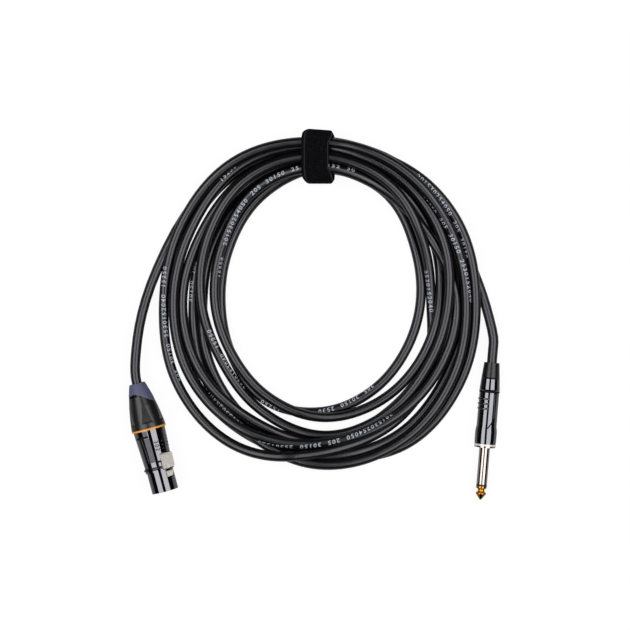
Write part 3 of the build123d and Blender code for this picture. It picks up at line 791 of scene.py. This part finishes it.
# %% Strap leans and curls
half_loop = strap_loop / 2
for vert in shape.verts:
    across, y, z = vert.co
    down = max(0.0, abs(y) - (half_loop - strap_corner)) / strap_corner
    sunk = max(0.0, 1 - z / strap_high * 2)
    if z < strap_high / 2:
        down = 1.0
    left = strap_left + (foot_left - strap_left) * down ** side_power
    right = strap_right + (foot_right - strap_right) * (1 - (1 - down) ** 2) + foot_flare * sunk
    on_side = min(1.0, abs(y) / half_loop) ** 4
    curl = edge_curl * max(0.0, 1 - across / curl_end) ** 2
    curl += rim_curl * on_side * max(0.0, (across - rim_start) / (1 - rim_start)) ** 2
    inward = Vector((0, y, z - strap_high / 2)).normalized() * -curl
    slant = -skew * across * max(0.0, y / half_loop)
    vert.co = Vector((left + across * (right - left), y + slant, z)) + inward
bmesh.ops.recalc_face_normals(shape, faces=shape.faces)
strap_place = Matrix.Translation(Vector((strap_x, strap_y, 0)) * MM) @ Matrix.Scale(MM, 4)
strap = make_piece(shape, "hook_and_loop_tie", "cable", "strap_fabric", place=strap_place)
strap.data.materials.append(strap_edge)
per_column = len(strap.data.polygons) // (len(strap_columns) - 1)
for column in edge_columns:
    for face in strap.data.polygons[column * per_column:(column + 1) * per_column]:
        face.material_index = 1
wall = strap.modifiers.new("thickness", "SOLIDIFY")
wall.thickness = strap_thick * MM
wall.offset = -1.0
soften = strap.modifiers.new("soft_rims", "BEVEL")
soften.width = rim_softness * MM
soften.segments = 2
soften.limit_method = "ANGLE"
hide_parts("tie_strap")

# %% [markdown]
# ## The XLR's boot
# Round the axis of a connector, an angle is measured from the side that faces the camera,
# positive to the right of someone who looks along the cable from above. The boot's
# slate sleeve is moulded over the black bushing, and its front edge runs in waves, which
# keys the two together. The sleeve is spun, then stretched to its wave at each angle.

# %% Round surfaces
latch_faces = 50.0


def round_axis(zero):
    """A function for points of a connector, by radius, facing angle and station."""
    def point_at(radius, facing, station):
        turn = math.radians(zero - facing)
        return Vector((radius * math.cos(turn), radius * math.sin(turn), station))
    return point_at


def radius_along(stations, radii):
    """A function for the radius of a turned shape at a station."""
    return lambda station: float(np.interp(station, stations, radii))


def xlr_facing(point):
    """The facing angle, in degrees, of a point in the XLR's own millimetres."""
    return latch_faces - math.degrees(math.atan2(point.y, point.x))


on_xlr = round_axis(latch_faces)
boot_radius = radius_along([0, 4, 8, 14, 20, 26.3], [4.6, 5.85, 7.0, 8.4, 9.45, 10.3])
print("boot radius from", boot_radius(0), "to", boot_radius(26.3), "mm")

# %% Slate sleeve
sleeve_wave = [6.2, 7.6, 8.9, 8.0, 6.9, 6.2, 7.1, 10.1, 12.4, 12.2, 9.6, 7.0, 6.2, 7.6]
wave_step = 30.0
sleeve_skin = 0.14
sleeve_rear = 0.25
sleeve_tuck = 0.1
sleeve_rows = 10
skin_radius = 5.0
cable_hole = cable_d / 2 + 0.05
hole_front = 6.0

bell_mouth = [(cable_hole, hole_front), (3.35, 3.0), (3.85, 0.12)]
profile = bell_mouth + [(4.3, 0.0)]
profile += [(skin_radius, row / sleeve_rows) for row in range(sleeve_rows + 1)]
shape = spun(profile)
for vert in shape.verts:
    spread = math.hypot(vert.co.x, vert.co.y)
    if spread > skin_radius - 0.5:
        facing = (xlr_facing(vert.co) + 180.0) % 360.0
        front = float(curve_at(sleeve_wave, facing / wave_step))
        station = sleeve_rear + vert.co.z * (front - sleeve_rear)
        radius = boot_radius(station) + sleeve_skin
        if vert.co.z > 0.98:
            radius -= sleeve_skin + sleeve_tuck
        vert.co = on_xlr(radius, facing - 180.0, station)
sleeve = make_piece(shape, "slate_sleeve", "xlr_boot", "slate_rubber", place=xlr)
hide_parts("xlr_end_sleeve")

# %% [markdown]
# Five flat grips are scooped out of the bushing's cone. Each one starts as a point near
# the sleeve, widens, and ends in a small ledge that the thumb pushes against. The bushing
# is spun with close rows, and inside a grip each point drops to the chord of its arc.

# %% Bushing with grips
grip_facings = [72.0 * k + 8.0 for k in range(-2, 3)]
grip_rear = 13.0
grip_front = 24.2
grip_point = 4.0
grip_wide = 21.0
bushing_front = 27.45
spigot_rear = 3.0
spigot_radius = 4.3
cone_rear = 8.0
thread_radius = 8.0
thread_front = 34.6
skirt_radius = 10.3
row_gap = 0.5
cavity_radius = 6.15
cavity_rear = 20.0
cone_rows = [cone_rear + row_gap * row for row in range(32)]
cone_rows += [24.0, 24.15, 24.25, 24.6, 25.2, 25.8, 26.3]
profile = [(cable_hole, hole_front), (3.4, spigot_rear), (spigot_radius, spigot_rear)]
profile += [(spigot_radius, cone_rear)]
profile += [(boot_radius(station), station) for station in cone_rows]
profile += [(skirt_radius, bushing_front), (thread_radius, bushing_front)]
profile += [(thread_radius, thread_front)]
profile += [(cavity_radius, thread_front), (cavity_radius, cavity_rear)]
profile += [(cable_hole, cavity_rear), (cable_hole, hole_front)]
shape = spun(profile, segments=180)
for vert in shape.verts:
    station = vert.co.z
    radius = math.hypot(vert.co.x, vert.co.y)
    if grip_rear < station < grip_front and radius > boot_radius(station) - 0.1:
        facing = xlr_facing(vert.co)
        off = min(abs((facing - middle + 180) % 360 - 180) for middle in grip_facings)
        along = (station - grip_rear) / (grip_front - grip_rear)
        half = grip_point + (grip_wide - grip_point) * along
        if off < half:
            radius *= math.cos(math.radians(half)) / math.cos(math.radians(off))
            vert.co = on_xlr(radius, facing, station)
bushing = make_piece(shape, "bushing_with_grips", "xlr_boot", "boot_plastic", place=xlr)
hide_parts("xlr_bushing")

# %% Ledges of the grips


def rib_row(name, body, slot, places, size, surface, finish=None):
    """Small rounded ribs across a round surface, at (facing, station) places.

    size is half an angle in degrees, half a length and a height. surface is the radius
    function, the point function and the matrix of the connector.
    """
    half_angle, half_length, height = size
    radius_at, place_on, matrix = surface
    for number, (facing, station) in enumerate(places, 1):
        shape = bmesh.new()
        bmesh.ops.create_uvsphere(shape, u_segments=20, v_segments=12, radius=1.0)
        for vert in shape.verts:
            here = station + vert.co.z * half_length
            turned = facing + vert.co.x * half_angle
            vert.co = place_on(radius_at(here) + vert.co.y * height, turned, here)
        make_piece(shape, f"{name}_{number}", body, slot, finish, matrix)


# Each ledge is a thin rib of painted shade across the front of its grip.
ledge_size = (20.0, 0.42, 0.05)
ledge_station = grip_front - 0.05
ledge_places = [(facing, ledge_station) for facing in grip_facings]
rib_row("grip_ledge", "xlr_boot", "boot_plastic", ledge_places, ledge_size,
        (boot_radius, on_xlr, xlr), engraved)

# %% [markdown]
# ## The XLR's shell
# The die-cast shell isn't a plain tube. Shallow panels are pressed into its side, fine
# engraved lines frame them, and a flange near its front stops it at the panel of the
# gear. Four small ribs near the latch give the thumb a mark, with three dots beside
# them. Each panel or line is a thin strip, laid a hair above the shell.

# %% Shell surface
shell_radius = radius_along([28.6, 50.0, 54.0], [9.6, 8.45, 8.3])
shell_surface = (shell_radius, on_xlr, xlr)
print("shell radius at its middle", round(shell_radius(41.0), 2), "mm")


def strip_on(route, width, lift, surface, steps=10, across=2, look=0.05):
    """A thin strip laid on a round surface along a route of (facing, station) points."""
    radius_at, place_on, _ = surface
    facings, stations = zip(*route)
    shape = bmesh.new()
    bmesh.ops.create_grid(shape, x_segments=across, y_segments=steps * (len(route) - 1), size=1.0)
    for vert in shape.verts:
        where_to = (vert.co.y + 1) / 2 * (len(route) - 1)
        facing = float(np.interp(where_to, range(len(route)), facings))
        station = float(np.interp(where_to, range(len(route)), stations))
        ahead = min(where_to + look, len(route) - 1)
        behind = max(ahead - 2 * look, 0)
        swing = np.interp([behind, ahead], range(len(route)), facings)
        rise = np.interp([behind, ahead], range(len(route)), stations)
        radius = radius_at(station)
        run = math.radians(swing[1] - swing[0]) * radius
        climb = rise[1] - rise[0]
        size = math.hypot(run, climb) + tiny
        side = vert.co.x * width / 2
        facing += math.degrees(-side * climb / size / radius)
        station += side * run / size
        vert.co = place_on(radius_at(station) + lift, facing, station)
    bmesh.ops.recalc_face_normals(shape, faces=shape.faces)
    return shape


# %% Flange
# The ring stops on both sides of the latch, so that the lever can dip between its ends.
latch_gap = math.radians(31.0)
past_latch = xlr @ Matrix.Rotation(latch_gap, 4, "Z")
flange_profile = [(8.2, 51.5), (9.05, 51.5), (9.2, 51.7), (9.2, 52.5), (9.05, 52.7),
                  (8.2, 52.7), (8.2, 51.5)]
flange_turn = FULL_TURN - 2 * latch_gap
flange = spun(flange_profile, 80, flange_turn)
make_piece(flange, "shell_flange", "cable", "black_shell", shaded_chrome, past_latch)
# The grooves either side of the flange are thin rings of painted shade.
for name, station in {"flange_groove_rear": 51.2, "flange_groove_front": 53.0}.items():
    radius = shell_radius(station) + 0.04
    groove_profile = [(8.1, station - 0.3), (radius, station - 0.28), (radius, station + 0.28),
                      (8.1, station + 0.3), (8.1, station - 0.3)]
    groove = spun(groove_profile, 80, flange_turn)
    make_piece(groove, name, "cable", "black_shell", engraved, past_latch)

# %% Panels and lines
panel_lift = 0.02
line_lift = 0.035
# The panels are the darker chrome copy, painted shade; the glint line is a painted glint, and the other lines are
# painted shade.
shell_panels = {
    "panel_left": ([(-15.5, 33.2), (-15.5, 48.0)], 4.5, panel_lift, shaded_chrome),
    "panel_back": ([(-17, 28.8), (-17, 31.8)], 4.2, panel_lift, shaded_chrome),
    "line_panel_rear": ([(-60, 32.4), (-4, 32.4)], 1.3, line_lift, engraved),
    "line_panel_glint": ([(-33, 33.0), (-29, 47.8)], 0.36, line_lift, painted_glint_chrome),
    "line_panel_side": ([(-29.5, 33.4), (-25, 47.8)], 0.5, line_lift, engraved),
    "line_window_bar": ([(5, 48.2), (21, 48.2)], 1.2, line_lift, engraved),
    "line_window_side": ([(19, 48.8), (20, 50.9)], 0.4, line_lift, engraved),
}
for name, (route, width, lift, finish) in shell_panels.items():
    shape = strip_on(route, width, lift, shell_surface, steps=14, across=10)
    make_piece(shape, name, "cable", "black_shell", finish, xlr)

# %% Ribs and dots
rib_facing = 76.0
dot_facing = 44.5
rib_places = [(rib_facing, station) for station in (34.4, 36.3, 38.2, 40.1)]
rib_size = (13.0, 0.5, 0.42)
rib_row("thumb_rib", "cable", "black_shell", rib_places, rib_size, shell_surface)
dot_places = [(dot_facing, station) for station in (36.6, 38.9, 41.2)]
dot_size = (3.8, 0.58, 0.2)
rib_row("shell_dot", "cable", "nickel", dot_places, dot_size, shell_surface, shaded_chrome)

# %% [markdown]
# ## The latch
# The latch is a stamped and plated lever. Its thumb pad is crowned, so that it catches
# light whichever way the plug is turned, and a small hook at its end snaps over the
# socket's edge. The pad is a grid bent to a crown, with a shallow dish, and thickened.

# %% Latch pad
pad_rear = 44.2
pad_front = 53.2
pad_width = 7.4
pad_top = 10.1
pad_crown = 1.5
pad_depth = 1.5
end_drop = 0.5
corner_cut = 0.16
dish_depth = 0.45
dish_half_width = 0.62
dish_half_length = 0.7
dish_middle = 0.1

shape = bmesh.new()
bmesh.ops.create_grid(shape, x_segments=14, y_segments=18, size=1.0)
for vert in shape.verts:
    side, along, _ = vert.co
    corner = 1 - corner_cut * abs(along) ** 6
    dish = dish_depth * max(0.0, 1 - (side / dish_half_width) ** 2)
    dish *= max(0.0, 1 - ((along - dish_middle) / dish_half_length) ** 2)
    high = pad_top - pad_crown * side ** 2 - end_drop * along ** 4 - dish
    station = (pad_rear + pad_front) / 2 + along * (pad_front - pad_rear) / 2
    vert.co = (high, side * corner * pad_width / 2, station)
bmesh.ops.recalc_face_normals(shape, faces=shape.faces)
bmesh.ops.solidify(shape, geom=shape.faces, thickness=pad_depth)
make_piece(shape, "latch_pad", "latch", "nickel", satin_nickel, xlr)

# %% [markdown]
# ## The jack's barrel
# The jack's barrel is turned from brass and plated like the shell. A black groove parts
# the collar from the barrel, three rounded ribs on one side stop it from rolling, and an
# engraved line sweeps down the other side and across the front.

# %% Jack surface
on_jack = round_axis(0.0)
barrel_radius = radius_along([9.85, 17.5, 17.6, 38.0, 41.0, 48.85],
                             [5.55, 6.1, 5.9, 6.0, 6.5, 6.4])
barrel_surface = (barrel_radius, on_jack, jack)
print("barrel flares to", barrel_radius(41.0), "mm in radius")

# %% Barrel groove and ribs
# The groove is a ring of painted shade between collar and barrel.
groove = spun([(5.6, 17.1), (6.12, 17.1), (6.14, 17.3), (6.14, 17.9), (6.0, 18.1), (5.6, 18.1)])
make_piece(groove, "barrel_groove", "jack_barrel", "black_shell", engraved, jack)

grip_from = -112.0
grip_to = 2.0
grip_middle = (grip_from + grip_to) / 2
grip_places = [(grip_middle, station) for station in (21.9, 24.8, 27.7)]
grip_size = ((grip_to - grip_from) / 2, 0.72, 0.75)
rib_row("barrel_rib", "jack_barrel", "black_shell", grip_places, grip_size, barrel_surface)

# %% Barrel line
barrel_lift = 0.015
glint_width = 0.5
sweep_width = 0.8
# The strip down the side is a painted glint on the line's raised edge; the sweep across the front is painted
# shade.
glint_route = [(29, 18.8), (31, 24.0), (33, 29.0), (34, 33.0)]
glint_strip = strip_on(glint_route, glint_width, barrel_lift, barrel_surface)
make_piece(glint_strip, "line_barrel_edge_glint", "jack_barrel", "black_shell", painted_glint_chrome, jack)
sweep_route = [(34, 33.0), (22, 36.0), (0, 39.4)]
sweep_strip = strip_on(sweep_route, sweep_width, barrel_lift, barrel_surface)
make_piece(sweep_strip, "line_barrel_sweep", "jack_barrel", "black_shell", engraved, jack)

# %% Rounded rim
rim = spun([(3.3, 50.9), (5.0, 51.15), (5.7, 51.0), (6.2, 50.5), (6.4, 49.8), (6.4, 49.1),
            (6.25, 48.93), (5.9, 48.93)])
make_piece(rim, "rounded_rim", "cable", "nickel", satin_nickel, jack)

# %% [markdown]
# ## Lettering on the jacket
# A cable like this is printed along its length. Here the print is plain figures, in
# groups as long as words. Each group is flat type made into a mesh, cut into narrow bands
# so that it can bend, and wrapped on the cable. The print turns slowly round the cable as
# the coil is wound, so it shows on some stretches and hides on others.

# %% The cable's line
steps_along = np.linalg.norm(np.diff(line, axis=0), axis=1)
run = np.concatenate([[0.0], np.cumsum(steps_along)]) / MM
line_mm = line / MM
line_angle = np.degrees(np.unwrap(np.arctan2(line_mm[:, 0] - coil_x, line_mm[:, 1] - coil_y)))
coil_share = 0.06
coil_start = np.argmin(np.abs(run - run[-1] * coil_share))
line_angle -= 360.0 * np.round(line_angle[coil_start] / 360.0)
print("line turns to", round(float(line_angle[-1])), "degrees")


def on_cable(distance, around, radius):
    """A point near the cable: how far along, how far round from its top towards the outside."""
    spot = Vector([float(np.interp(distance, run, line_mm[:, axis])) for axis in range(3)])
    ahead = Vector([float(np.interp(distance + 1.0, run, line_mm[:, axis])) for axis in range(3)])
    along = (ahead - spot).normalized()
    outside = Vector((0, 0, 1)).cross(along).normalized()
    top = along.cross(outside)
    return spot + radius * (math.cos(around) * top + math.sin(around) * outside)


# %% Type
letter_size = 3.6
ink_lift = 0.03
type_bands = 6
word_gap = 4.2
letter_spread = 1.15
letter_space = 1.28
letter_bold = 0.05


def type_mesh(figures):
    """Flat figures as a bmesh cut into bands, and their length and height, in millimetres."""
    type_curve = bpy.data.curves.new("type", "FONT")
    type_curve.body = figures
    type_curve.size = letter_size
    type_curve.space_character = letter_space
    type_curve.resolution_u = 2
    type_curve.offset = letter_bold
    type_object = bpy.data.objects.new("type", type_curve)
    flat = bpy.data.meshes.new_from_object(type_object)
    bpy.data.objects.remove(type_object)
    shape = bmesh.new()
    shape.from_mesh(flat)
    bpy.data.meshes.remove(flat)
    bmesh.ops.scale(shape, verts=shape.verts, vec=(letter_spread, 1, 1))
    top = max(v.co.y for v in shape.verts)
    for band in range(1, type_bands):
        cut = top * band / type_bands
        bmesh.ops.bisect_plane(shape, geom=shape.verts[:] + shape.edges[:] + shape.faces[:],
                               plane_co=(0, cut, 0), plane_no=(0, 1, 0))
    return shape, max(v.co.x for v in shape.verts), top


# %% Number on the shell
number_front = 41.8
number_length = 6.2
number_facing = 19.0
number_height = 2.5
shape, length, top = type_mesh("305")
for vert in shape.verts:
    station = number_front - number_length * (1 - vert.co.x / length)
    side = (vert.co.y / top - 0.5) * number_height
    radius = shell_radius(station)
    vert.co = on_xlr(radius + line_lift, number_facing - math.degrees(side / radius), station)
bmesh.ops.recalc_face_normals(shape, faces=shape.faces)
make_piece(shape, "shell_number", "cable", "black_shell", engraved, xlr)

# %% Where the print shows
# Each stretch has its turn of the coil, where it starts and ends in degrees, how far round
# the cable it leans at both ends, and its figures.
long_word = "201530254050"
print_stretches = [
    (1, 37, 76, 0.0, -1.2, long_word + " 205 30150"),
    (2, 148, 183, -0.95, -0.1, "205 30150 2530"),
    (2, 201, 214, 0.7, 0.6, "15250"),
    (3, 283, 297, -1.1, -0.8, "15250"),
    (3, 300, 353, -0.5, 0.45, long_word + " 205 30150 25"),
    (4, 2, 16, 0.6, 0.9, "152 30"),
    (4, 148, 203, -1.1, 1.25, long_word + " 205 30150 25301520"),
    (4, 320, 341, 0.3, 1.2, "15250 2015"),
    (5, 222, 259, -1.3, -0.15, "2530152040 15250"),
    (6, 73, 98, -0.9, 0.1, "2530152040"),
    (7, 241, 288, -1.1, 0.7, "205 30150 2530152040 15250"),
    (8, 44, 98, -1.7, 1.6, "15250 205 30150 2530152040"),
    (8, 213, 245, -0.3, 1.3, long_word + " 205"),
    (8, 270, 311, 0.7, 0.2, "30150 205 30150 2530"),
]
letter_meshes = []
for turn, first, last, lean_first, lean_last, text in print_stretches:
    begin = float(np.interp(turn * 360 + first, line_angle, run))
    end = float(np.interp(turn * 360 + last, line_angle, run))
    pen = begin
    for word in text.split():
        shape, length, top = type_mesh(word)
        for vert in shape.verts:
            distance = pen + vert.co.x
            lean = float(np.interp(distance, [begin, end], [lean_first, lean_last]))
            around = lean + (vert.co.y - top / 2) / (cable_d / 2)
            vert.co = on_cable(distance, around, cable_d / 2 + ink_lift)
        pen += length + word_gap
        letters = bpy.data.meshes.new("letters")
        shape.to_mesh(letters)
        shape.free()
        letter_meshes.append(letters)

shape = bmesh.new()
for letters in letter_meshes:
    shape.from_mesh(letters)
    bpy.data.meshes.remove(letters)
make_piece(shape, "jacket_print", "cable", "cable_jacket", pale_ink, Matrix.Scale(MM, 4))
print(len(letter_meshes), "groups of figures")
